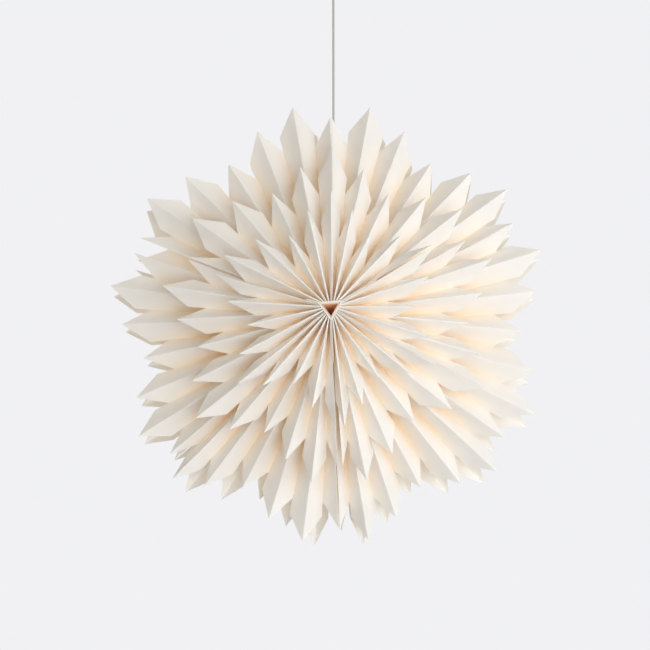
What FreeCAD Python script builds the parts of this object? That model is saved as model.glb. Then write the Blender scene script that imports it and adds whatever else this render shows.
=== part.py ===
import FreeCAD, Part
import math
import os

# Hanging paper star: six rings of pleated paper fans stand one behind the other on a
# triangular paper spine. The star's axis is Y, its front faces -Y, and +Z is up. The
# origin is the point inside the hanging loop where a hook bears, so the star hangs below.
# Angles in a ring are clockwise from the top, as seen from the front.

# ---- driving dimensions: millimetres and degrees ----
PAPER = 0.3              # thickness of a pleated sheet
PLEAT = 28.0             # width of a pleat, from one crease to the next
LEAST_DEPTH = 7.0        # how deep a pleat stays where the fan is opened widest
RING_GAP = 10.0          # between the creases of one ring and the next, at the spine
TIP_DROP = 36.0          # how far a point's cut edges run back from its tip
FOLD_BACK = 1.0          # how far a crease's back may stand out where pleats are closed

SPINE_CARD = 0.5         # thickness of a spine band's card, and of its glued flaps
SPINE_WALL = 1.6         # thickness of a band's wall, where its card is folded over and over
SPINE_CORNER = 14.5      # from the axis to the spine's outer corners
SPINE_MARGIN = 1.0       # how far the spine runs past the creases, front and back
FLAP_REACH = 3.5         # how far a band's glued flap stands out past the spine's corner
SEAM_INSET = 1.8         # along a band, from its corner to the end edge of a fan
SEAT_GAP = 0.3           # between a fan's inner ends and its band
SLIT = 0.3               # between the end edges of two fans that meet

CORD_DIAMETER = 3.0
CORD_OFFSET = 4.0        # the cord hangs this far beside the axis
CORD_HOLE_GAP = 0.4      # round the cord, where it goes through its band
CORD_REACH = 468.0       # from the axis up to the knot of the hanging loop
INNER_KNOT_RADIUS = 2.6  # its height is what the spine leaves it
LOOP_KNOT_RADIUS = 4.0
LOOP_KNOT_HEIGHT = 9.0
LOOP_RADIUS = 7.0        # of the loop's round top, at the middle of the cord
LOOP_LENGTH = 24.0       # from the knot to the middle of that round top
KNOT_BEVEL = 1.2

# Where the three seams between the pairs of fans lie round the axis.
SEAM_ANGLES = (-70.0, 60.5, 178.5)

# Each size of fan: the radii of its long, medium and short points, and the order of its
# points from the pair's middle out to the seam. Then, for each of the six fans, the
# angles at which it starts and ends, how far its middle crease leans on from halfway, and
# how much wider than the average its pleats open in the middle, and narrower at its ends.
# The fans listed as extra have half a pleat more, so they end on a valley.
SMALL = {
    "radii": {"L": 156.0, "M": 134.0, "S": 111.0},
    "points": "LMSML",
    "fans": (
        (0.0, 57.8, -1.5, 0.15),
        (58.8, 119.0, 0.5, 0.24),
        (119.0, 177.2, 2.0, 0.35),
        (177.4, 230.4, 2.3, 0.23),
        (230.4, 286.9, -0.7, 0.15),
        (289.2, 360.0, 1.6, 0.14),
    ),
    "extra_last": (3,),
    "extra_first": (6,),
}
MIDDLE = {
    "radii": {"L": 226.0, "M": 203.0, "S": 181.0},
    "points": "LMSMLM",
    "fans": (
        (0.6, 61.4, 1.3, 0.11),
        (61.4, 115.9, -0.5, 0.12),
        (115.9, 175.8, 4.0, 0.19),
        (177.4, 231.9, -1.8, 0.09),
        (231.9, 291.1, 0.1, 0.03),
        (291.8, 360.6, 0.9, 0.11),
    ),
    "extra_last": (),
    "extra_first": (),
}
LARGE = {
    "radii": {"L": 300.0, "M": 280.0, "S": 256.0},
    "points": "MLMSMLM",
    "fans": (
        (0.2, 62.1, 1.3, 0.1),
        (62.1, 124.8, 0.1, 0.12),
        (124.8, 177.6, 1.1, 0.16),
        (177.8, 229.4, 3.6, 0.18),
        (229.4, 288.9, -1.3, 0.06),
        (293.3, 360.0, 0.4, 0.1),
    ),
    "extra_last": (),
    "extra_first": (),
}

# The back ring of large fans was opened a little unlike the front one.
LARGE_BACK = dict(
    LARGE,
    fans=(
        (1.5, 63.0, 1.0, 0.1),
        (63.0, 127.8, -0.6, 0.12),
        (127.8, 177.2, 2.7, 0.18),
        (177.2, 228.9, -1.1, 0.15),
        (228.9, 286.4, -0.3, 0.15),
        (288.7, 361.5, 2.3, 0.0),
    ),
)

# The rings from front to back: name, size of fan, place along the axis in tier pitches,
# and which way the long side of each crease faces.
TIERS = (
    ("front_small", SMALL, -2.5, -1.0),
    ("front_middle", MIDDLE, -1.5, -1.0),
    ("front_large", LARGE, -0.5, -1.0),
    ("back_large", LARGE_BACK, 0.5, 1.0),
    ("back_middle", MIDDLE, 1.5, 1.0),
    ("back_small", SMALL, 2.5, 1.0),
)

# ---- sizes that follow from them ----
TIER_PITCH = PLEAT + RING_GAP
LOOP_KNOT_TOP = CORD_REACH + LOOP_KNOT_HEIGHT
HANG = LOOP_KNOT_TOP + LOOP_LENGTH + LOOP_RADIUS - CORD_DIAMETER / 2
SPINE_LENGTH = 5 * TIER_PITCH + PLEAT + 2 * SPINE_MARGIN
AXIS = FreeCAD.Vector(-CORD_OFFSET, 0, -HANG)


def radial(angle):
    """Unit vector out from the axis at an angle round it."""
    a = math.radians(angle)
    return FreeCAD.Vector(math.sin(a), 0, math.cos(a))


def sideways(angle):
    """Unit vector square to radial(angle), the way the angle grows."""
    a = math.radians(angle)
    return FreeCAD.Vector(math.cos(a), 0, -math.sin(a))


class Module:
    """One side of the spine, with the seams at its two ends and two fans of each ring."""

    def __init__(self, start, end):
        self.start = start
        self.end = end
        self.middle = (start + end) / 2
        self.half = math.radians(end - start) / 2
        self.face = SPINE_CORNER * math.cos(self.half)
        self.half_side = SPINE_CORNER * math.sin(self.half)

    def point(self, out, along):
        """A point at a distance out from the axis and along the band."""
        return radial(self.middle) * out + sideways(self.middle) * along


MODULES = (
    Module(SEAM_ANGLES[0], SEAM_ANGLES[1]),
    Module(SEAM_ANGLES[1], SEAM_ANGLES[2]),
    Module(SEAM_ANGLES[2], SEAM_ANGLES[0] + 360),
)


# ---- pleated fans ----

def fan_place(size, number):
    """The module that carries a fan, its angles, and its first and last place on the band."""
    start, end = size["fans"][number - 1][:2]
    if number in (1, 6):
        module = MODULES[0]
        first = size["fans"][5][0] - 360
        last = size["fans"][0][1]
    elif number in (2, 3):
        module = MODULES[1]
        first = size["fans"][1][0]
        last = size["fans"][2][1]
    else:
        module = MODULES[2]
        first = size["fans"][3][0]
        last = size["fans"][4][1]
    if number == 6:
        start -= 360
        end -= 360
    leads = number in (2, 4, 6)
    inner_angle = end if leads else start
    reach = module.half_side - SEAM_INSET
    share = (inner_angle - first) / (last - first)
    meeting = -reach + 2 * reach * share
    clearance = (PAPER + SLIT) / 2
    turn = math.degrees(clearance / size["radii"]["L"])
    if leads:
        return module, start + turn, end - turn, -reach, meeting - clearance
    return module, start + turn, end - turn, meeting + clearance, reach


class Fan:
    """A pleated sheet: creases run out from the spine, ridges and valleys in turn."""

    def __init__(self, size, number, tier_y, facing):
        self.facing = facing
        self.tier_y = tier_y
        self.outer = size["radii"]["L"]
        radii = [size["radii"][letter] for letter in size["points"]]
        if number in (2, 4, 6):
            radii.reverse()
        module, start, end, band_first, band_last = fan_place(size, number)
        self.kinds = []
        self.tips = []
        if number in size["extra_first"]:
            self.kinds.append("valley")
            self.tips.append(None)
        for radius in radii:
            if self.tips and self.kinds[-1] == "ridge":
                self.kinds.append("valley")
                self.tips.append(None)
            self.kinds.append("ridge")
            self.tips.append(radius)
        if number in size["extra_last"]:
            self.kinds.append("valley")
            self.tips.append(None)
        self.panels = len(self.kinds) - 1
        lean, spread = size["fans"][number - 1][2:]
        self.angles = []
        self.roots = []
        for i in range(self.panels + 1):
            share = i / self.panels
            opened = share - spread / (2 * math.pi) * math.sin(2 * math.pi * share)
            turned = (end - start) * opened + lean * 4 * share * (1 - share)
            self.angles.append(start + turned)
            along = band_first + (band_last - band_first) * share
            self.roots.append(module.point(module.face + SEAT_GAP, along))
        self.root_width = (band_last - band_first) / self.panels
        shortest = min(radii) - TIP_DROP
        self.stations = (0.36 * shortest, 0.74 * shortest)

    def pleat(self, crease, share):
        """The width across a half pleat and its depth by a crease, at a share of the way out."""
        before = self.angles[max(crease - 1, 0)]
        after = self.angles[min(crease + 1, self.panels)]
        beside = 2 if 0 < crease < self.panels else 1
        rim_width = self.outer * math.radians(after - before) / beside
        across = self.root_width + (rim_width - self.root_width) * share
        depth = math.sqrt(max(PLEAT ** 2 - across ** 2, LEAST_DEPTH ** 2))
        return across, depth

    def on_crease(self, crease, radius):
        """The middle of the sheet's thickness on a crease, and the pleat's two sizes there."""
        root = self.roots[crease]
        share = (radius - root.Length) / (self.outer - root.Length)
        across, depth = self.pleat(crease, share)
        end = radial(self.angles[crease]) * self.outer
        point = root + (end - root) * share
        side = 1 if self.kinds[crease] == "ridge" else -1
        point.y = self.tier_y + self.facing * side * depth / 2
        return point, across, depth

    def creased(self, crease, radius):
        """The sheet's front and back points on a folded crease."""
        point, across, depth = self.on_crease(crease, radius)
        mitre = PAPER / 2 * math.hypot(across, depth) / across
        back = min(mitre, FOLD_BACK)
        outward, inward = (back, mitre) if self.kinds[crease] == "ridge" else (mitre, back)
        shift = FreeCAD.Vector(0, self.facing, 0)
        return point + shift * outward, point - shift * inward

    def cut(self, crease, radius, slope):
        """The sheet's front and back points on a cut edge, square to its own panel."""
        point, across, depth = self.on_crease(crease, radius)
        slant = math.hypot(across, depth)
        square = sideways(self.angles[crease]) * (slope * depth / slant)
        square.y = self.facing * across / slant
        return point + square * (PAPER / 2), point - square * (PAPER / 2)

    def chain(self, crease):
        """Front and back points along a crease, from the spine to its last folded point."""
        last = self.panels
        if self.kinds[crease] == "ridge":
            end = self.tips[crease]
        else:
            beside = [self.tips[i] for i in (crease - 1, crease + 1) if 0 <= i <= last]
            end = min(beside) - TIP_DROP
        radii = (self.roots[crease].Length,) + self.stations + (end,)
        if 0 < crease < last:
            return [self.creased(crease, r) for r in radii]
        falls_from_ridge = self.kinds[crease] == "ridge"
        slope = 1 if falls_from_ridge == (crease == 0) else -1
        return [self.cut(crease, r, slope) for r in radii]

    def solid(self):
        """The whole folded sheet, closed all round by its cut edges."""
        chains = [self.chain(i) for i in range(self.panels + 1)]
        walls = Walls()
        for i in range(self.panels):
            ridge, valley = (i, i + 1) if self.kinds[i] == "ridge" else (i + 1, i)
            high, low = chains[ridge], chains[valley]
            turned = ridge > valley
            for k in range(len(high) - 2):
                walls.strip((high[k], high[k + 1], low[k + 1], low[k]), turned)
            rim = [high[-2], high[-1]]
            foot = self.tips[ridge] - TIP_DROP
            beyond = [t for t in self.beside(valley) if t < self.tips[ridge]]
            if beyond:
                slope = 1 if ridge < valley else -1
                rim.append(self.cut(valley, foot, slope))
            rim += [low[-1], low[-2]]
            walls.strip(rim, turned)
            walls.edge(rim[1:-1], turned)
            walls.edge((low[0], high[0]), turned)
        walls.edge(chains[0], False)
        walls.edge(chains[-1], True)
        return walls.solid()

    def beside(self, valley):
        """The tips of the points on the two sides of a valley."""
        return [self.tips[i] for i in (valley - 1, valley + 1) if 0 <= i <= self.panels]


class Walls:
    """Collects the triangles of a sheet from pairs of its front and back points."""

    def __init__(self):
        self.points = []
        self.index = {}
        self.facets = []

    def number(self, point):
        key = (round(point.x, 6), round(point.y, 6), round(point.z, 6))
        if key not in self.index:
            self.index[key] = len(self.points)
            self.points.append(point)
        return self.index[key]

    def facet(self, a, b, c, turned):
        corners = (a, c, b) if turned else (a, b, c)
        self.facets.append(tuple(self.number(p) for p in corners))

    def strip(self, outline, turned):
        """A flat stretch of the sheet, front and back, fanned from its first corner."""
        for i in range(1, len(outline) - 1):
            a, b, c = outline[0], outline[i], outline[i + 1]
            self.facet(a[0], b[0], c[0], turned)
            self.facet(a[1], b[1], c[1], not turned)

    def edge(self, line, turned):
        """The thickness of the sheet along a cut."""
        for a, b in zip(line, line[1:]):
            self.facet(a[0], a[1], b[0], turned)
            self.facet(b[0], a[1], b[1], turned)

    def solid(self):
        shape = Part.Shape()
        shape.makeShapeFromMesh((self.points, self.facets), 0.001)
        body = Part.Solid(shape.Shells[0])
        if body.Volume < 0:
            body.reverse()
        body.translate(AXIS)
        return body


# ---- the spine ----

def spine_band(module):
    """A card strip folded into one side of the spine, with a glued flap at each seam."""
    half = module.half
    inner = (module.face - SPINE_WALL) / math.cos(half)
    corner = (module.face - SPINE_CARD * math.sin(half)) / math.cos(half)

    def right(distance, off_seam):
        out = distance * math.cos(half) + off_seam * math.sin(half)
        along = distance * math.sin(half) - off_seam * math.cos(half)
        return out, along

    flap_end = SPINE_CORNER + FLAP_REACH
    flap = [right(flap_end, 0), right(flap_end, SPINE_CARD)]
    half_outline = [right(inner, 0)] + flap + [right(corner, SPINE_CARD)]
    mirrored = [(out, -along) for out, along in reversed(half_outline)]
    corners = [module.point(out, along) for out, along in half_outline + mirrored]
    face = Part.Face(Part.makePolygon(corners + corners[:1]))
    band = face.extrude(FreeCAD.Vector(0, SPINE_LENGTH, 0))
    band.translate(AXIS - FreeCAD.Vector(0, SPINE_LENGTH / 2, 0))
    return band


def top_band():
    """The uppermost band, with the hole that the cord goes through."""
    radius = CORD_DIAMETER / 2 + CORD_HOLE_GAP
    drill = Part.makeCylinder(radius, SPINE_CORNER, FreeCAD.Vector(0, 0, -HANG))
    return spine_band(MODULES[0]).cut(drill)


# ---- the cord ----

def knot(radius, bottom, top):
    """A pulled-tight knot, as a plain barrel with bevelled ends."""
    height = top - bottom
    barrel = Part.makeCylinder(radius, height, FreeCAD.Vector(0, 0, bottom))
    rims = [e for e in barrel.Edges if isinstance(e.Curve, Part.Circle)]
    return barrel.makeChamfer(min(KNOT_BEVEL, 0.4 * height), rims)


def inner_knot_ends():
    """Heights at which the inner knot meets the top band and, below it, the right one."""
    heights = []
    for module in MODULES[:2]:
        tilt = math.radians(module.middle)
        reach = module.face - SPINE_WALL - SEAT_GAP
        nearest_x = CORD_OFFSET + math.copysign(INNER_KNOT_RADIUS, math.sin(tilt))
        heights.append((reach - nearest_x * math.sin(tilt)) / math.cos(tilt) - HANG)
    return heights


def hanging_loop():
    """The loop that a hook holds, tied off in a knot."""
    foot = FreeCAD.Vector(0, 0, LOOP_KNOT_TOP - HANG - KNOT_BEVEL)
    centre_z = LOOP_KNOT_TOP + LOOP_LENGTH - HANG
    centre = FreeCAD.Vector(0, 0, centre_z)
    rise = centre_z - foot.z
    touch = math.asin(LOOP_RADIUS / rise)
    side = FreeCAD.Vector(math.cos(touch), 0, -math.sin(touch)) * LOOP_RADIUS
    right = centre + side
    left = centre + FreeCAD.Vector(-side.x, 0, side.z)
    top = centre + FreeCAD.Vector(0, 0, LOOP_RADIUS)
    path = Part.Wire([
        Part.LineSegment(foot, right).toShape(),
        Part.Arc(right, top, left).toShape(),
        Part.LineSegment(left, foot).toShape(),
    ])
    legs = []
    for edge in path.Edges:
        start = edge.valueAt(edge.FirstParameter)
        along = edge.tangentAt(edge.FirstParameter)
        section = Part.Wire(Part.Circle(start, along, CORD_DIAMETER / 2).toShape())
        legs.append(Part.Wire(edge).makePipeShell([section], True, False))
    tied = knot(LOOP_KNOT_RADIUS, CORD_REACH - HANG, LOOP_KNOT_TOP - HANG)
    return tied.fuse(legs).removeSplitter()


def save(shape, node):
    shape.exportStep(os.path.join("parts", node + ".step"))


os.makedirs("parts", exist_ok=True)

for tier, size, place, facing in TIERS:
    for number in range(1, 7):
        fan = Fan(size, number, place * TIER_PITCH, facing)
        save(fan.solid(), tier + "_fan_" + str(number))

save(top_band(), "spine_band_top")
save(spine_band(MODULES[1]), "spine_band_right")
save(spine_band(MODULES[2]), "spine_band_left")

knot_top, knot_bottom = inner_knot_ends()
cord_length = CORD_REACH - HANG - knot_top
save(knot(INNER_KNOT_RADIUS, knot_bottom, knot_top), "inner_knot")
save(Part.makeCylinder(CORD_DIAMETER / 2, cord_length, FreeCAD.Vector(0, 0, knot_top)), "cord")
save(hanging_loop(), "hanging_loop")
print("cord: one straight run of", round(cord_length, 1), "mm, with no bend")
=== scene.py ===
import bpy
import math
import random
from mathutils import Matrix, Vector


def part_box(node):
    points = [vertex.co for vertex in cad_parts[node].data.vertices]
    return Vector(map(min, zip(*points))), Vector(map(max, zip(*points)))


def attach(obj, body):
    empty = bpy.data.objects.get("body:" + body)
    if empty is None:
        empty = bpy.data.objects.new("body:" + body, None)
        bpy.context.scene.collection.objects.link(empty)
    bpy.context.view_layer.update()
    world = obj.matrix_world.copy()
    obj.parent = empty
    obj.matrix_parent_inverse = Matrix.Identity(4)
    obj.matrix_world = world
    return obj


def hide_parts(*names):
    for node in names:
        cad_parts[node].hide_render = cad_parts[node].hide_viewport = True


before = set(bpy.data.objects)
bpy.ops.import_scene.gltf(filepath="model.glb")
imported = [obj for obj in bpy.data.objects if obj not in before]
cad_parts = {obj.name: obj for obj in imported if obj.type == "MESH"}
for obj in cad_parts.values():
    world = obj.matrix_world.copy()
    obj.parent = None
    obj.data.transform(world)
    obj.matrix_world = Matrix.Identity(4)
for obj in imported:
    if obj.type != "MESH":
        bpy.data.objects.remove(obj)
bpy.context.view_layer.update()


# ---- Camera ----
# The lantern hangs well above the eye, which looks up at it from 2.6 m away, so each
# ring further back shows slightly lower than the one in front of it.

HANG = 0.5065            # from the hook down to the star's axis
CORD_OFFSET = 0.004      # the cord hangs this far to the right of the axis
AXIS = Vector((-CORD_OFFSET, 0, -HANG))
AIM = AXIS + Vector((-0.0077, 0, -0.0037))
CAMERA_DISTANCE = 2.6
CAMERA_RISE = math.radians(10.2)
LENS = 106.3

camera_data = bpy.data.cameras.new("camera")
camera_data.lens = LENS
camera = bpy.data.objects.new("camera", camera_data)
bpy.context.collection.objects.link(camera)
view_line = Vector((0, math.cos(CAMERA_RISE), math.sin(CAMERA_RISE)))
camera.location = AIM - view_line * CAMERA_DISTANCE
camera.rotation_euler = view_line.to_track_quat("-Z", "Y").to_euler()
bpy.context.scene.camera = camera


# ---- Cord and loop ----
# A light grey braided cotton cord, 3 mm thick, pulled straight by the star's weight. A
# knot holds it under the top band, and its upper end is tied off into a loop for a hook.

CORD_DIAMETER = 0.003
CORD_STRAIGHT = 0.018    # six diameters, from each end of the cord to the next point
STRAND = 0.0026          # along the cord between two crossings of a strand, real size
CARRIERS = 4             # strands that go round each way
STRAND_RISE = 0.0004     # how far a strand stands above the hollows beside it


def linear(hex_colour):
    """An sRGB hex colour as the linear colour that a shader takes."""
    parts = [int(hex_colour[i:i + 2], 16) / 255 for i in (1, 3, 5)]
    return tuple(c / 12.92 if c <= 0.04045 else ((c + 0.055) / 1.055) ** 2.4
                 for c in parts) + (1.0,)


def add_node(tree, kind, settings=(), inputs=(), links=()):
    """A node of a kind, with its settings, input values and incoming links."""
    node = tree.nodes.new(kind)
    for name, value in dict(settings).items():
        setattr(node, name, value)
    for name, value in dict(inputs).items():
        node.inputs[name].default_value = value
    for name, socket in dict(links).items():
        tree.links.new(socket, node.inputs[name])
    return node


def new_material(name):
    """A material with an empty node tree."""
    material = bpy.data.materials.new(name)
    material.use_nodes = True
    material.node_tree.nodes.clear()
    return material, material.node_tree


# Cotton yarn, dyed light grey and braided by machine, without glaze. It looks dull and
# soft, and its strands cross in small diamonds, with painted shade in the hollows between them.
def braided_cotton(name, tied_length=0):
    """The cord's cotton: for a tied piece of a length, or for the straight cord."""
    material, tree = new_material(name)
    coordinates = add_node(tree, "ShaderNodeTexCoord").outputs
    place = coordinates["UV" if tied_length else "Object"]
    axes = add_node(tree, "ShaderNodeSeparateXYZ", links={"Vector": place}).outputs
    if tied_length:
        turn, whole_turn, run, run_length = axes["Y"], 2 * math.pi, axes["X"], tied_length
    else:
        turn = add_node(tree, "ShaderNodeMath", settings={"operation": "ARCTAN2"},
                        links={0: axes["Y"], 1: axes["X"]}).outputs[0]
        whole_turn, run, run_length = 1.0, axes["Z"], 1.0
    strands = []
    for way in (-CARRIERS, CARRIERS):
        around = add_node(tree, "ShaderNodeMath", settings={"operation": "MULTIPLY"},
                          inputs={1: way * whole_turn}, links={0: turn})
        along = add_node(tree, "ShaderNodeMath", settings={"operation": "MULTIPLY_ADD"},
                         inputs={1: 2 * math.pi * run_length / STRAND},
                         links={0: run, 2: around.outputs[0]})
        strands.append(add_node(tree, "ShaderNodeMath", settings={"operation": "SINE"},
                                links={0: along.outputs[0]}))
    weave = add_node(tree, "ShaderNodeMath", settings={"operation": "MAXIMUM"},
                     links={0: strands[0].outputs[0], 1: strands[1].outputs[0]})
    painted_hollow_shade_mask = add_node(tree, "ShaderNodeMapRange", inputs={"From Min": -1.0, "From Max": 1.0},
                     links={"Value": weave.outputs[0]})
    # Painted shade: the hollows between the strands take the darker grey, the strands the dyed
    # light grey.
    tone = add_node(tree, "ShaderNodeMix", settings={"data_type": "RGBA"},
                    links={0: painted_hollow_shade_mask.outputs["Result"]})
    tone.inputs["A"].default_value = linear("#B9B7B1")
    tone.inputs["B"].default_value = linear("#DEDCD7")
    ribs = add_node(tree, "ShaderNodeBump", inputs={"Strength": 0.6, "Distance": STRAND_RISE},
                    links={"Height": weave.outputs[0]})
    cotton = add_node(tree, "ShaderNodeBsdfPrincipled",
                      inputs={"Roughness": 0.85, "Specular IOR Level": 0.3},
                      links={"Base Color": tone.outputs["Result"],
                             "Normal": ribs.outputs["Normal"]})
    add_node(tree, "ShaderNodeOutputMaterial", links={"Surface": cotton.outputs["BSDF"]})
    return material


def cord_line(name, points, thickness):
    """A round, capped curve of one open spline, which runs smoothly by its points."""
    curve = bpy.data.curves.new(name, "CURVE")
    curve.dimensions = "3D"
    spline = curve.splines.new("NURBS")
    spline.points.add(len(points) - 1)
    for point, place in zip(spline.points, points):
        point.co = (*place, 1)
    spline.order_u = 3
    spline.use_endpoint_u = True
    curve.bevel_depth = thickness / 2
    curve.use_fill_caps = True
    piece = bpy.data.objects.new(name, curve)
    bpy.context.collection.objects.link(piece)
    return piece


cord_low, cord_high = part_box("cord")
cord = cord_line("braided_cord", [(0, 0, cord_low[2]), (0, 0, cord_low[2] + CORD_STRAIGHT),
                                  (0, 0, cord_high[2] - CORD_STRAIGHT), (0, 0, cord_high[2])],
                 CORD_DIAMETER)
cord.data.materials.append(braided_cotton("braided_cotton_cord"))
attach(cord, "root")
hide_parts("cord")

# The cord's ends: a small knot pulled tight inside the spine, and above, a loop whose
# knot is wrapped twice round both its legs, with the cord's cut end sticking out.

KNOT_CORD = 0.0021       # the cord's thickness where a tight knot squeezes it
KNOT_POINTS = 24
KNOT_LOBE = 0.0005       # a third of the way from the knot's middle to its lobes
LOOP_CORD = CORD_DIAMETER * 0.93
LOOP_CENTRE_Z = -0.0055
LOOP_RADIUS = 0.007
WRAP_RADIUS = 0.0033
WRAP_TURNS = 2.25
WRAP_POINTS = 10         # in each turn
WRAP_SPAN = (0.0012, 0.0078)                 # from the loop's lowest point to the wraps' ends
LEG_SIDE = 0.0012        # from the loop's middle to its legs, where they leave the wraps
LEG_SPREAD = 0.0004      # and how much further out they are at each point above
LEG_START = 0.002        # from the wraps up to the legs' first point
LEG_STEP = 0.0035        # and on to each point above


def tied_cord(name, points, thickness, slot_node):
    """A length of the same cord that is tied in a knot, through points that it follows."""
    piece = cord_line(name, points, thickness)
    piece.data.splines[0].resolution_u = 4
    piece.data.bevel_resolution = 4
    bpy.ops.object.select_all(action="DESELECT")
    piece.select_set(True)
    bpy.context.view_layer.objects.active = piece
    bpy.ops.object.convert(target="MESH")
    piece = bpy.context.active_object
    bpy.ops.object.shade_smooth()
    length = sum((Vector(a) - Vector(b)).length for a, b in zip(points, points[1:]))
    piece.data.materials.append(braided_cotton("braided_cotton_" + name, length))
    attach(piece, "root")
    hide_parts(slot_node)
    return piece


knot_low, knot_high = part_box("inner_knot")
knot_middle = (knot_low[2] + knot_high[2]) / 2
knot_rise = (knot_high[2] - knot_low[2]) / 2 - KNOT_CORD / 2
trefoil = []
for i in range(KNOT_POINTS + 1):
    t = 2 * math.pi * i / KNOT_POINTS
    lobe = Vector((math.sin(t) + 2 * math.sin(2 * t), math.cos(t) - 2 * math.cos(2 * t), 0))
    trefoil.append(lobe * KNOT_LOBE + Vector((0, 0, knot_middle - math.sin(3 * t) * knot_rise)))
inner_knot = tied_cord("tied_inner_knot", trefoil, KNOT_CORD, "inner_knot")

loop_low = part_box("hanging_loop")[0]
wrap_low, wrap_high = [loop_low[2] + height for height in WRAP_SPAN]
legs = [(LEG_SIDE + LEG_SPREAD * i, 0, wrap_high + LEG_START + LEG_STEP * i) for i in range(4)]
loop_route = [(0, 0, loop_low[2] + 0.0001), (0, 0, loop_low[2] + 0.0025),
              (-0.0009, 0, loop_low[2] + 0.0055)]
loop_route += [(-x, y, z) for x, y, z in legs]
for degrees in range(-75, 256, 30):
    a = math.radians(degrees)
    loop_route.append((-LOOP_RADIUS * math.cos(a), 0, LOOP_CENTRE_Z + LOOP_RADIUS * math.sin(a)))
loop_route += legs[::-1] + [(LEG_SIDE, 0.0004, wrap_high)]
for i in range(int(WRAP_TURNS * WRAP_POINTS) + 1):
    a = 2 * math.pi * i / WRAP_POINTS
    sunk = i / (WRAP_TURNS * WRAP_POINTS)
    loop_route.append((WRAP_RADIUS * math.cos(a), WRAP_RADIUS * math.sin(a),
                       wrap_high - (wrap_high - wrap_low) * sunk))
loop_route += [(0.001, 0.0052, wrap_low - 0.0015), (0.0015, 0.0066, wrap_low - 0.0055)]
tied_loop = tied_cord("tied_hanging_loop", loop_route, LOOP_CORD, "hanging_loop")


# ---- Pleated fans ----
# Each fan is one sheet of warm white uncoated paper, about 250 g a square metre. Its
# outer edge is die-cut into points, then it is creased, pleated and glued to the spine
# by its inner end, where the pleats lie closed. Towards the rim they open and flatten.

PAPER = 0.0003           # thickness of the sheet
PLEAT = 0.028            # width of a flat from crease to crease
LEAST_DEPTH = 0.007      # of a pleat, however wide it opens
TIER_PITCH = 0.038       # from one ring of fans to the next
TIP_DROP = 0.036         # from the tip of a point back to the notch beside it
SPINE_CORNER = 0.0145    # from the axis to a corner of the spine
SEAM_INSET = 0.0018      # from a corner to the nearest pleat
SEAT_GAP = 0.0003        # the glue between the spine and a fan
SLIT = 0.0003            # between two fans
SEAM_ANGLES = (-70.0, 60.5, 178.5)           # of the spine's corners, clockwise from the top

# For each ring: the reach of its long, middle and short points, their order on an odd
# fan, and each fan's start, end and lean in degrees and how much its middle pleats
# spread. Extra_first and extra_last name the fans with one flat more at that end, and
# covered is how far out the ring in front hides this one.
SMALL = {
    "radii": {"L": 0.156, "M": 0.134, "S": 0.111},
    "points": "LMSML",
    "fans": (
        (0.0, 57.8, -1.5, 0.15),
        (58.8, 119.0, 0.5, 0.24),
        (119.0, 177.2, 2.0, 0.35),
        (177.4, 230.4, 2.3, 0.23),
        (230.4, 286.9, -0.7, 0.15),
        (289.2, 360.0, 1.6, 0.14),
    ),
    "extra_last": (3,),
    "extra_first": (6,),
    "covered": 0.0,
}
MIDDLE = {
    "radii": {"L": 0.226, "M": 0.203, "S": 0.181},
    "points": "LMSMLM",
    "fans": (
        (0.6, 61.4, 1.3, 0.11),
        (61.4, 115.9, -0.5, 0.12),
        (115.9, 175.8, 4.0, 0.19),
        (177.4, 231.9, -1.8, 0.09),
        (231.9, 291.1, 0.1, 0.03),
        (291.8, 360.6, 0.9, 0.11),
    ),
    "extra_last": (),
    "extra_first": (),
    "covered": 0.075,
}
LARGE = {
    "radii": {"L": 0.300, "M": 0.280, "S": 0.256},
    "points": "MLMSMLM",
    "fans": (
        (0.2, 62.1, 1.3, 0.1),
        (62.1, 124.8, 0.1, 0.12),
        (124.8, 177.6, 1.1, 0.16),
        (177.8, 229.4, 3.6, 0.18),
        (229.4, 288.9, -1.3, 0.06),
        (293.3, 360.0, 0.4, 0.1),
    ),
    "extra_last": (),
    "extra_first": (),
    "covered": 0.145,
}
LARGE_BACK = dict(
    LARGE,
    fans=(
        (1.5, 63.0, 1.0, 0.1),
        (63.0, 127.8, -0.6, 0.12),
        (127.8, 177.2, 2.7, 0.18),
        (177.2, 228.9, -1.1, 0.15),
        (228.9, 286.4, -0.3, 0.15),
        (288.7, 361.5, 2.3, 0.0),
    ),
)
TIERS = (                # each ring's place in pitches from the middle, and the way it faces
    ("front_small", SMALL, -2.5, -1.0),
    ("front_middle", MIDDLE, -1.5, -1.0),
    ("front_large", LARGE, -0.5, -1.0),
    ("back_large", LARGE_BACK, 0.5, 1.0),
    ("back_middle", MIDDLE, 1.5, 1.0),
    ("back_small", SMALL, 2.5, 1.0),
)

ROWS = 16                # rows of faces from the spine to the rim
FOLD = 0.0008            # radius of a fold, at the middle of the paper
TIGHT_FOLD = 0.4         # its most as a share of a half pleat's width, where pleats lie closed
FLAT_COLUMNS = (0.33, 0.67)                  # where a flat's own columns stand between folds
BOW = 0.0008             # how far a pleat's flat may curl out of flat
BOW_END = 0.98           # the curl stops fading at this share of the way out to the rim
STRAY = 0.0018           # how far a point's tip may lean to the front or back
PAPER_SMOOTH = math.radians(50)              # edges less sharp than this are shaded round
PAINTED_SHADE_FROM = 0.03         # how far past the ring in front the painted warm shade starts to fade
PAINTED_SHADE_REACH = 0.09        # and how much further on it is gone
TOOTH = 0.0011           # between fibre clumps: 0.3 mm on the real sheet, drawn coarser to show
TOOTH_RISE = 0.0002
CLOUD = 0.022            # between thicker and thinner places in the sheet, real size


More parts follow.
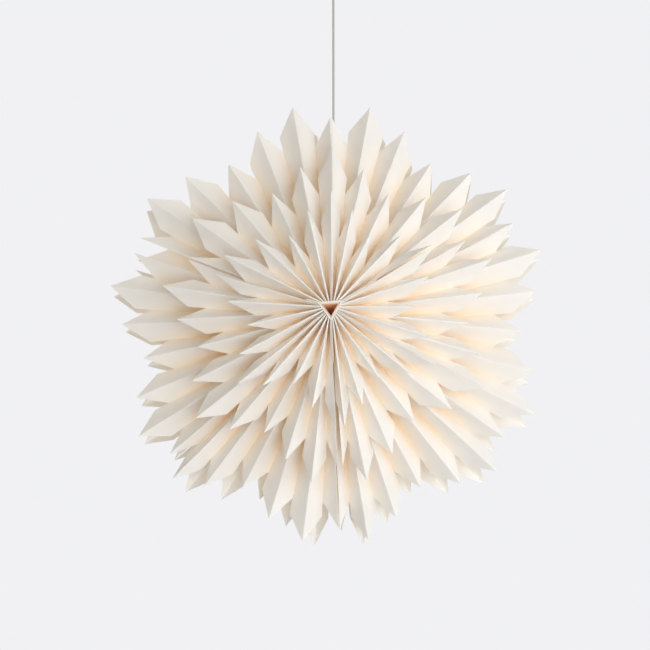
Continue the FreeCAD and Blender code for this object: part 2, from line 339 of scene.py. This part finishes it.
def paper_material(name, colour, painted_shade_colour, crease, through, share):
    """Paper or card: its open tone, its painted shade for shut-in places, its creased tone, and a
    share of light let through.
    """
    material, tree = new_material(name)
    place = add_node(tree, "ShaderNodeTexCoord").outputs["Object"]
    fibres = add_node(tree, "ShaderNodeTexNoise", links={"Vector": place},
                      inputs={"Scale": 1 / TOOTH, "Detail": 4.0, "Roughness": 0.7})
    cloudy = add_node(tree, "ShaderNodeTexNoise", links={"Vector": place},
                      inputs={"Scale": 1 / CLOUD, "Detail": 3.0})
    painted_shade_mask = add_node(tree, "ShaderNodeAttribute", settings={"attribute_name": "painted_shade"})
    folded = add_node(tree, "ShaderNodeAttribute", settings={"attribute_name": "crease"})
    # Painted shade: a warm tan is mixed in where a mesh marks its valleys and shut-in places.
    flat = add_node(tree, "ShaderNodeMix", settings={"data_type": "RGBA"},
                    links={0: painted_shade_mask.outputs["Fac"]})
    flat.inputs["A"].default_value = linear(colour)
    flat.inputs["B"].default_value = linear(painted_shade_colour)
    lined = add_node(tree, "ShaderNodeMix", settings={"data_type": "RGBA"},
                     links={0: folded.outputs["Fac"], "A": flat.outputs["Result"]})
    lined.inputs["B"].default_value = linear(crease)
    tone = add_node(tree, "ShaderNodeMapRange", links={"Value": cloudy.outputs["Fac"]},
                    inputs={"From Min": 0.3, "From Max": 0.7, "To Min": 0.985, "To Max": 1.0})
    tinted = add_node(tree, "ShaderNodeVectorMath", settings={"operation": "SCALE"},
                      links={"Vector": lined.outputs["Result"], "Scale": tone.outputs["Result"]})
    relief = add_node(tree, "ShaderNodeBump", inputs={"Strength": 0.12, "Distance": TOOTH_RISE},
                      links={"Height": fibres.outputs["Fac"]})
    surface = add_node(tree, "ShaderNodeBsdfPrincipled",
                       inputs={"Roughness": 0.85, "Specular IOR Level": 0.25},
                       links={"Base Color": tinted.outputs["Vector"],
                              "Normal": relief.outputs["Normal"]})
    behind = add_node(tree, "ShaderNodeBsdfTranslucent", inputs={"Color": linear(through)})
    mixed = add_node(tree, "ShaderNodeMixShader", inputs={0: share})
    tree.links.new(surface.outputs["BSDF"], mixed.inputs[1])
    tree.links.new(behind.outputs["BSDF"], mixed.inputs[2])
    add_node(tree, "ShaderNodeOutputMaterial", links={"Surface": mixed.outputs["Shader"]})
    return material


def radial(angle):
    """The way outwards from the axis at an angle clockwise from the top."""
    a = math.radians(angle)
    return Vector((math.sin(a), 0, math.cos(a)))


def sideways(angle):
    """The way clockwise round the axis at such an angle."""
    a = math.radians(angle)
    return Vector((math.cos(a), 0, -math.sin(a)))


def spine_wall(pair):
    """The angles of a spine wall's two seams and of its middle, and half its angle."""
    start = SEAM_ANGLES[pair]
    end = SEAM_ANGLES[pair + 1] if pair < 2 else SEAM_ANGLES[0] + 360
    return start, end, (start + end) / 2, math.radians(end - start) / 2


def crease_lines(size, number, panels):
    """Where each crease starts on the spine, and where its line meets the rim."""
    middle, half = spine_wall((number % 6) // 2)[2:]
    leads = number in (2, 4, 6)
    start, end, lean, spread = size["fans"][number - 1]
    other_start, other_end = size["fans"][number % 6 if leads else (number - 2) % 6][:2]
    if number == 6:
        start, end = start - 360, end - 360
    if number == 1:
        other_start -= 360
    first, last = (start, other_end) if leads else (other_start, end)
    reach = SPINE_CORNER * math.sin(half) - SEAM_INSET
    meeting = -reach + 2 * reach * ((end if leads else start) - first) / (last - first)
    clearance = (PAPER + SLIT) / 2
    if leads:
        band_first, band_last = -reach, meeting - clearance
    else:
        band_first, band_last = meeting + clearance, reach
    outer = size["radii"]["L"]
    turn = math.degrees(clearance / outer)
    start, end = start + turn, end - turn
    seat = radial(middle) * (SPINE_CORNER * math.cos(half) + SEAT_GAP)
    lines = []
    for i in range(panels + 1):
        share = i / panels
        opened = share - spread / (2 * math.pi) * math.sin(2 * math.pi * share)
        angle = start + (end - start) * opened + lean * 4 * share * (1 - share)
        along = band_first + (band_last - band_first) * share
        lines.append((seat + sideways(middle) * along, angle))
    return lines, (band_last - band_first) / panels


def fan_sheet(name, size, number, tier_y, facing, chance):
    """A flat grid folded into a fan: its columns follow the pleats, its rows run out."""
    points = size["points"] if number % 2 else size["points"][::-1]
    tips = [size["radii"][letter] for letter in points]
    creases = [tips[0]]
    for radius in tips[1:]:
        creases += [None, radius]
    if number in size["extra_first"]:
        creases.insert(0, None)
    if number in size["extra_last"]:
        creases.append(None)
    panels = len(creases) - 1
    outer = size["radii"]["L"]
    lines, root_width = crease_lines(size, number, panels)
    leans = [chance.uniform(-STRAY, STRAY) for _ in lines]
    bows = [chance.uniform(-BOW, BOW) for _ in range(panels)]

    def pleat(i, share):
        """The width of a half pleat by a crease, its depth and its fold, some way out."""
        before, after = lines[max(i - 1, 0)][1], lines[min(i + 1, panels)][1]
        rim_width = outer * math.radians(after - before) / (2 if 0 < i < panels else 1)
        across = root_width + (rim_width - root_width) * share
        depth = math.sqrt(max(PLEAT ** 2 - across ** 2, LEAST_DEPTH ** 2))
        return across, depth, min(FOLD, TIGHT_FOLD * across)

    def fold_point(i, radius, turn):
        """A point on a crease's round fold: at its line, or turned down to one side of it."""
        root, angle = lines[i]
        share = (radius - root.length) / (outer - root.length)
        depth, fold = pleat(i, share)[1:]
        side = facing * (1 if creases[i] else -1)
        point = root.lerp(radial(angle) * outer, share)
        point += sideways(angle) * (fold * math.sin(turn))
        raised = depth / 2 - fold * (1 - math.cos(turn))
        point.y = tier_y + side * raised + leans[i] * max(share, 0) ** 2
        return point

    def fold_turn(i, radius):
        """How far round a crease's fold the flat beside it starts."""
        root = lines[i][0].length
        across, depth, fold = pleat(i, (radius - root) / (outer - root))
        between = math.atan2(across, depth - 2 * fold)
        crossing = math.asin(2 * fold / math.hypot(across, depth - 2 * fold))
        return math.pi / 2 - (between - crossing)

    def rim_fall(i, beside):
        """Where a crease's line ends at the rim, on the side of one of its flats."""
        ridge = i if creases[i] else beside
        return creases[ridge] if creases[i] else creases[ridge] - TIP_DROP

    def beside_crease(i, beside, part, out):
        """A point on one side's half of a crease's fold, and its share of the way to the valley."""
        start, end = lines[i][0].length, rim_fall(i, beside)
        turn = fold_turn(i, start + (end - start) * out) * part
        share = FOLD * turn / PLEAT
        end += -TIP_DROP * share if creases[i] else TIP_DROP * share
        point = fold_point(i, start + (end - start) * out, turn if beside > i else -turn)
        return point, share if creases[i] else 1 - share

    grid_rows = [[] for _ in range(ROWS + 1)]
    for row, column in enumerate(grid_rows):
        out = row / ROWS
        for i in range(panels + 1):
            sides = [j for j in (i - 1, i + 1) if 0 <= j <= panels]
            start, end = lines[i][0].length, min(rim_fall(i, j) for j in sides)
            fold = 1.0 if creases[i] else 0.0
            halves = {j: [beside_crease(i, j, 1, out) + (0.0,),
                          beside_crease(i, j, 0.5, out) + (fold,)] for j in sides}
            column += halves.get(i - 1, [])
            column.append((fold_point(i, start + (end - start) * out, 0), 1 - fold, fold))
            column += halves.get(i + 1, [])[::-1]
            if i < panels:
                left, right = column[-1][:2], beside_crease(i + 1, i, 1, out)
                for share in FLAT_COLUMNS:
                    point = left[0].lerp(right[0], share)
                    curl = 4 * share * (1 - share) * math.sin(math.pi * min(out, BOW_END))
                    point.y += bows[i] * curl
                    column.append((point, left[1] + (right[1] - left[1]) * share, 0.0))

    columns = len(grid_rows[0])
    bpy.ops.object.select_all(action="DESELECT")
    bpy.ops.mesh.primitive_grid_add(x_subdivisions=columns - 1, y_subdivisions=ROWS, size=1)
    sheet = bpy.context.active_object
    sheet.name = name
    mesh = sheet.data
    painted_shade = mesh.attributes.new("painted_shade", "FLOAT", "POINT")
    crease = mesh.attributes.new("crease", "FLOAT", "POINT")
    for vertex in mesh.vertices:
        column = round((vertex.co.x + 0.5) * (columns - 1))
        row = round((vertex.co.y + 0.5) * ROWS)
        point, fall, fold = grid_rows[row][column]
        vertex.co = point + AXIS
        # Painted shade, warm: strongest towards each valley and under the ring in front, fading out
        # past it.
        past_cover = (math.hypot(point.x, point.z) - size["covered"] - PAINTED_SHADE_FROM) / PAINTED_SHADE_REACH
        painted_shade.data[vertex.index].value = fall ** 2 * min(1.0, max(0.0, 1 - past_cover))
        crease.data[vertex.index].value = fold
    return sheet


def thicken(sheet, thickness):
    """Gives a sheet its thickness, half of it on each side."""
    thick = sheet.modifiers.new("thickness", "SOLIDIFY")
    thick.thickness = thickness
    thick.offset = 0
    bpy.ops.object.modifier_apply(modifier="thickness")


# Uncoated paper, made by machine from bleached pulp and left unglazed. It looks chalky
# and faintly cloudy. Some light comes through it. Between the pleats and under the ring in
# front a soft tan is painted in as shade, for the warmth light gathers going from flat to flat.
pleated_paper = paper_material("uncoated_pleated_paper", colour="#FEFEFE", painted_shade_colour="#FFF2DC",
                               crease="#FEFEFE", through="#FFF8EC", share=0.2)
for tier_index, (tier, size, place, facing) in enumerate(TIERS):
    for number in range(1, 7):
        node = tier + "_fan_" + str(number)
        chance = random.Random(100 * tier_index + number)
        fan = fan_sheet("paper_" + node, size, number, place * TIER_PITCH, facing, chance)
        thicken(fan, PAPER)
        bpy.ops.object.shade_smooth_by_angle(angle=PAPER_SMOOTH)
        fan.data.materials.append(pleated_paper)
        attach(fan, "root")
        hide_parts(node)


# ---- Spine ----
# Three strips of thin warm card, each folded into three layers that make one wall of a
# triangular tube. They are glued together along doubled flaps between the fans, and
# their outer layer turns out at both ends, over the ends of the pleats.

CARD = 0.0003            # thickness of the card
CARD_GAP = 2.2 * CARD    # from the seam to a layer's folded edge
SPINE_LENGTH = 5 * TIER_PITCH + PLEAT + 0.002
LAYER_DEPTHS = (0.0002, 0.00095, 0.00135)    # below the wall's outer face, from layer 1 to 3
FLAP_REACH = 0.03        # from the axis to a flap's folded edge
TAB_REACH = (0.034, 0.07, 0.07)              # and to its edge at the end rings, for each seam
FLAP_MIDDLE = 0.024      # from the axis to a column between the corner and that edge
FLAP_INSIDE = 0.016      # from the axis to the flap's free edge, inside the fold
FLAP_LAYERS = (0.0002, 0.00052)              # from the middle of the seam
FAN_BEFORE_SEAM = (5, 1, 3, 5)               # the fan that each seam follows, clockwise
TWIST = 0.17             # the flaps turn aside between two rings, this far from the middle
TWIST_RATE = 3           # in pitches, and at this rate
END_ROW = 0.003          # the row of faces nearest to each end
LIP = 0.0022             # width of the end lip past the wall
LIP_SET_BACK = 0.00032   # how far the lip lies behind the other layers' ends
LIP_MITRE = 0.0009       # from the middle of a seam to the lip's end
LIP_INNER = 0.004        # from there to the lip's inner column
LIP_ENDS = 0.6           # columns further out than this share of the lip are its mitred ends
CORD_HOLE = 0.0019
DRILL_DEPTH = 0.012
CARD_SMOOTH = math.radians(35)
SORT_FROM = (0.7, -1.3, 0.2)                 # no two faces are equally far from here


def seam_shift(seam, fan_number, y):
    """How far a seam's flaps turn aside, a metre out, to stay midway between two fans."""
    slopes = []
    for _, size, _, _ in TIERS:
        outer = size["radii"]["L"]
        ends = []
        for number, edge in ((fan_number, 1), (fan_number + 1, 0)):
            root, angle = crease_lines(size, number, 1)[0][edge]
            share = (TAB_REACH[1] - root.length) / (outer - root.length)
            ends.append(root.lerp(radial(angle) * outer, share))
        aside = ((ends[0] + ends[1]) / 2).dot(sideways(seam))
        slopes.append(aside / (TAB_REACH[1] - SPINE_CORNER))
    tier_place = y / TIER_PITCH - TIERS[0][2]
    before = max(0, min(4, math.floor(tier_place)))
    blend = max(0.0, min(1.0, 0.5 + (tier_place - before - 0.5) * TWIST_RATE))
    return slopes[before] * (1 - blend) + slopes[before + 1] * blend


def folded_strip(pair, y):
    """One strip's folded line across the tube at a depth, with marks on layers 1 and 3."""
    start, end, middle, half = spine_wall(pair)
    face = SPINE_CORNER * math.cos(half)
    at_end_ring = abs(y) > 2 * TIER_PITCH
    reach_a, reach_c = [TAB_REACH[i % 3] if at_end_ring else FLAP_REACH for i in (pair, pair + 1)]
    inner, outer = FLAP_LAYERS

    def on_flap(side, rho, off):
        """A point on a flap, a way out from the axis and off the middle of its seam."""
        seam = end if side > 0 else start
        shift = seam_shift(seam, FAN_BEFORE_SEAM[pair + (side > 0)], y) * max(rho - SPINE_CORNER, 0)
        return radial(seam) * rho + sideways(seam) * (shift - side * off)

    def on_layer(layer, side, inset):
        """A point on a layer, a way in from the seam at one side."""
        out = face - LAYER_DEPTHS[layer]
        rho = (out - inner * math.sin(half)) / math.cos(half)
        along = rho * math.sin(half) - inner * math.cos(half) - inset
        return radial(middle) * out + sideways(middle) * (side * along)

    def turn_back(a, b, out_of):
        """The tip of a fold between two layers."""
        return (a + b) / 2 + ((a + b) / 2 - out_of).normalized() * ((a - b).length / 2)

    flap_a, flap_b = on_flap(-1, reach_a, outer), on_flap(-1, reach_a, inner)
    flap_c, flap_d = on_flap(1, reach_c, inner), on_flap(1, reach_c, outer)
    layer_1 = [on_layer(0, -1, inset) for inset in (0.0, LIP_MITRE, LIP_INNER)]
    layer_1 += [on_layer(0, 1, inset) for inset in (LIP_INNER, CARD_GAP)]
    layer_2 = [on_layer(1, 1, CARD_GAP), on_layer(1, -1, CARD_GAP)]
    layer_3 = [on_layer(2, -1, CARD_GAP), on_layer(2, 1, 0.0)]
    line = [(point, 0) for point in (
        on_flap(-1, FLAP_INSIDE, outer), on_flap(-1, FLAP_MIDDLE, outer), flap_a,
        turn_back(flap_a, flap_b, radial(start) * FLAP_MIDDLE), flap_b,
        on_flap(-1, FLAP_MIDDLE, inner), on_flap(-1, SPINE_CORNER, inner), layer_1[0])]
    line += [(point, 1) for point in layer_1[1:]]
    line += [(point, 0) for point in (
        turn_back(layer_1[-1], layer_2[0], layer_2[1]), *layer_2,
        turn_back(layer_2[-1], layer_3[0], layer_3[1]))]
    line += [(point, 3) for point in layer_3]
    line += [(point, 0) for point in (
        on_flap(1, SPINE_CORNER, inner), on_flap(1, FLAP_MIDDLE, inner), flap_c,
        turn_back(flap_c, flap_d, radial(end) * FLAP_MIDDLE), flap_d,
        on_flap(1, FLAP_MIDDLE, outer), on_flap(1, FLAP_INSIDE, outer))]
    return line


# Uncoated card of warm white pulp, cut, creased and glued by hand. It looks matt like the
# paper and lets hardly any light through. The inside of the tube is painted warmer, as shade where
# it is shut in.
card = paper_material("folded_spine_card", colour="#FFF6EA", painted_shade_colour="#FFE9C9",
                      crease="#FFFEFC", through="#FFF3E2", share=0.05)
depths = [-SPINE_LENGTH / 2, END_ROW - SPINE_LENGTH / 2]
for place in (-2, -1, 0, 1, 2):
    depths += [(place - TWIST) * TIER_PITCH, (place + TWIST) * TIER_PITCH]
depths += [SPINE_LENGTH / 2 - END_ROW, SPINE_LENGTH / 2]
for pair, side_name in enumerate(("top", "right", "left")):
    strip = [folded_strip(pair, y) for y in depths]
    columns, rows = len(strip[0]), len(strip)
    bpy.ops.object.select_all(action="DESELECT")
    bpy.ops.mesh.primitive_grid_add(x_subdivisions=columns - 1, y_subdivisions=rows - 1, size=1)
    band = bpy.context.active_object
    band.name = "card_spine_band_" + side_name
    inner_painted_shade = band.data.attributes.new("painted_shade", "FLOAT", "POINT")
    lip_edge = []
    for vertex in band.data.vertices:
        column = round((vertex.co.x + 0.5) * (columns - 1))
        row = round((vertex.co.y + 0.5) * (rows - 1))
        point, layer = strip[row][column]
        y = depths[row]
        at_end = row in (0, rows - 1)
        # Painted shade: the tube's inner layer is marked for the warmer shut-in tone.
        inner_painted_shade.data[vertex.index].value = 1.0 if layer == 3 and not at_end else 0.0
        if layer == 1 and at_end:
            y -= math.copysign(LIP_SET_BACK + CARD / 2, y)
            lip_edge.append(vertex.index)
        vertex.co = point + AXIS + Vector((0, y, 0))

    # The outer layer's ends are drawn outwards into lips, which are then mitred at the seams.
    middle, half = spine_wall(pair)[2:]
    bpy.ops.object.mode_set(mode="EDIT")
    bpy.ops.mesh.select_mode(type="EDGE")
    bpy.ops.mesh.select_all(action="DESELECT")
    bpy.ops.object.mode_set(mode="OBJECT")
    for edge in band.data.edges:
        a, b = edge.vertices
        same_end = band.data.vertices[a].co.y * band.data.vertices[b].co.y > 0
        edge.select = a in lip_edge and b in lip_edge and same_end
    bpy.ops.object.mode_set(mode="EDIT")
    bpy.ops.mesh.extrude_region_move(TRANSFORM_OT_translate={"value": radial(middle) * LIP})
    bpy.ops.object.mode_set(mode="OBJECT")
    rho = (SPINE_CORNER * math.cos(half) + LIP - LIP_MITRE * math.sin(half)) / math.cos(half)
    limit = rho * math.sin(half) - LIP_MITRE * math.cos(half)
    for vertex in band.data.vertices:
        if vertex.select:
            along = (vertex.co - AXIS).dot(sideways(middle))
            widened = math.copysign(limit, along) if abs(along) > LIP_ENDS * limit else along
            vertex.co += sideways(middle) * (widened - along)

    # Extrude leaves the new faces in an order of chance, so all are sorted by their place.
    bpy.context.scene.cursor.location = SORT_FROM
    bpy.ops.object.mode_set(mode="EDIT")
    bpy.ops.mesh.select_all(action="SELECT")
    bpy.ops.mesh.sort_elements(type="CURSOR_DISTANCE", elements={"VERT", "EDGE", "FACE"})
    bpy.ops.object.mode_set(mode="OBJECT")
    bpy.context.scene.cursor.location = (0, 0, 0)
    thicken(band, CARD)

    if side_name == "top":
        bpy.ops.object.select_all(action="DESELECT")
        bpy.ops.mesh.primitive_cylinder_add(vertices=32, radius=CORD_HOLE, depth=DRILL_DEPTH,
                                            location=(0, 0, DRILL_DEPTH / 2 - HANG))
        drill = bpy.context.active_object
        bpy.context.view_layer.objects.active = band
        hole = band.modifiers.new("cord_hole", "BOOLEAN")
        hole.operation = "DIFFERENCE"
        hole.object = drill
        bpy.ops.object.modifier_apply(modifier="cord_hole")
        bpy.data.objects.remove(drill)
    bpy.ops.object.select_all(action="DESELECT")
    band.select_set(True)
    bpy.context.view_layer.objects.active = band
    bpy.ops.object.shade_smooth_by_angle(angle=CARD_SMOOTH)
    band.data.materials.append(card)
    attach(band, "root")
    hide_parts("spine_band_" + side_name)


# ---- Light and room ----
# The lantern hangs in a plain pale room. A large soft light stands to its right, one in
# front a little below it and one behind it, all of daylight; the room gives back an even,
# slightly warmer light.

LAMPS = (                # place from the star's middle, width in metres, watts
    ("window", Vector((1.2, -1.0, 0.05)), 1.0, 7.6),
    ("soft_front", Vector((0.3, -1.3, -0.35)), 0.7, 7.2),
    ("soft_back", Vector((-0.7, 1.3, 0.3)), 1.0, 9.8),
)
FLOOR_Z = -1.9
FLOOR_RADIUS = 7
FLOOR_LIFT = 0.5         # white added to the floor where it is seen, as a share of full white
ROOM_FILL = 0.385        # the room's light on the star, as a share of full white

for name, place, width, watts in LAMPS:
    lamp_data = bpy.data.lights.new(name, "AREA")
    lamp_data.shape = "SQUARE"
    lamp_data.size = width
    lamp_data.energy = watts
    lamp_data.color = linear("#F9FCFF")[:3]
    lamp = bpy.data.objects.new(name, lamp_data)
    bpy.context.collection.objects.link(lamp)
    lamp.location = AXIS + place
    lamp.rotation_euler = (-place).to_track_quat("-Z", "Y").to_euler()
    lamp.visible_camera = False

bpy.ops.object.select_all(action="DESELECT")
bpy.ops.mesh.primitive_circle_add(vertices=128, radius=FLOOR_RADIUS, fill_type="NGON",
                                  location=(0, 0, FLOOR_Z))
floor = bpy.context.active_object
floor.name = "floor"
# Matt floor paint, rolled on: even and pale, with no gloss. Its lift keeps it close to
# the wall's tone, so that the room looks as light from behind the star as from in front.
floor_paint, paint = new_material("matt_floor_paint")
painted = add_node(paint, "ShaderNodeBsdfPrincipled",
                   inputs={"Base Color": linear("#E6E6E7"), "Roughness": 0.9})
looked_at = add_node(paint, "ShaderNodeLightPath").outputs["Is Camera Ray"]
lift = add_node(paint, "ShaderNodeMath", settings={"operation": "MULTIPLY"},
                inputs={1: FLOOR_LIFT}, links={0: looked_at})
pale = add_node(paint, "ShaderNodeEmission", inputs={"Color": linear("#F1F1F3")},
                links={"Strength": lift.outputs[0]})
laid = add_node(paint, "ShaderNodeAddShader",
                links={0: painted.outputs["BSDF"], 1: pale.outputs["Emission"]})
add_node(paint, "ShaderNodeOutputMaterial", links={"Surface": laid.outputs["Shader"]})
floor.data.materials.append(floor_paint)

world = bpy.data.worlds.new("pale_room")
world.use_nodes = True
bpy.context.scene.world = world
room = world.node_tree
room.nodes.clear()
sight = add_node(room, "ShaderNodeLightPath").outputs
seen = add_node(room, "ShaderNodeMath", settings={"operation": "MAXIMUM"},
                links={0: sight["Is Camera Ray"], 1: sight["Is Glossy Ray"]})
seen_far = add_node(room, "ShaderNodeMath", settings={"operation": "MAXIMUM"},
                    links={0: seen.outputs[0], 1: sight["Is Transmission Ray"]})
fill = add_node(room, "ShaderNodeBackground",
                inputs={"Color": linear("#FEF8EB"), "Strength": ROOM_FILL})
wall = add_node(room, "ShaderNodeBackground",
                inputs={"Color": linear("#F1F1F3"), "Strength": 1.0})
both = add_node(room, "ShaderNodeMixShader", links={0: seen_far.outputs[0]})
room.links.new(fill.outputs[0], both.inputs[1])
room.links.new(wall.outputs[0], both.inputs[2])
add_node(room, "ShaderNodeOutputWorld", links={"Surface": both.outputs[0]})

# White pleats pass light to and fro many times before it leaves them, which warms it.
bpy.context.scene.cycles.max_bounces = 32
bpy.context.scene.cycles.diffuse_bounces = 32

bpy.context.scene.view_settings.view_transform = "Standard"
